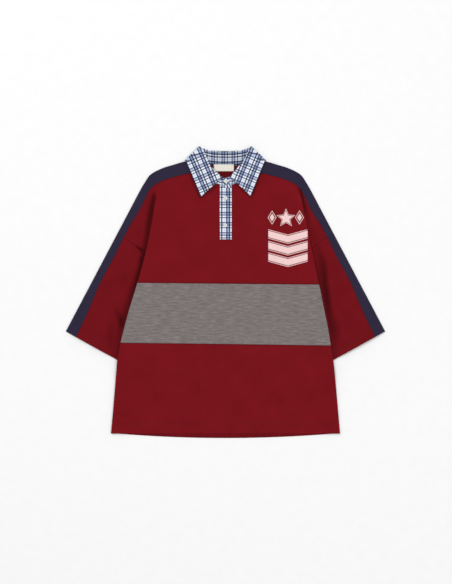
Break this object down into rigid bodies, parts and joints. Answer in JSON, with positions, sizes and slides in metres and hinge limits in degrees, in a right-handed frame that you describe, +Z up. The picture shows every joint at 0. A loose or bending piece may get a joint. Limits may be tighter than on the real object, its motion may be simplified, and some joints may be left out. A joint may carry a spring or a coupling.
{
  "type": "polo t-shirt laid flat",
  "caption": "Wide colour-blocked short-sleeved polo shirt laid flat, with a plaid shirt collar and button placket, for dressing a shelf, table or bed.",
  "frame": {"origin": "on the surface that the shirt lies on, under the middle of its outline", "axes": "+Z up from the surface, +Y towards the collar, +X towards the wearer's left sleeve"},
  "size_m": [0.83, 0.7576, 0.0098],
  "materials": {
    "red_jersey": "matte dark red cotton jersey",
    "navy_jersey": "matte navy cotton jersey",
    "grey_marl": "grey marl jersey with fine darker and lighter flecks",
    "plaid_cotton": "woven cotton check in white, light blue and navy",
    "pearl": "pearly white shirt button",
    "cream_tape": "bare woven cream label"
  },
  "bodies": {
    "root": {"front_upper": "red_jersey", "front_band": "grey_marl", "front_lower": "red_jersey", "back": "red_jersey", "shoulder_left": "navy_jersey", "shoulder_right": "navy_jersey", "stripe_left": "navy_jersey", "stripe_right": "navy_jersey", "sleeve_left": "red_jersey", "sleeve_right": "red_jersey", "collar": "plaid_cotton", "collar_stand": "plaid_cotton", "placket": "plaid_cotton", "button_1": "pearl", "button_2": "pearl", "button_3": "pearl", "neck_label": "cream_tape"}
  },
  "joints": []
}
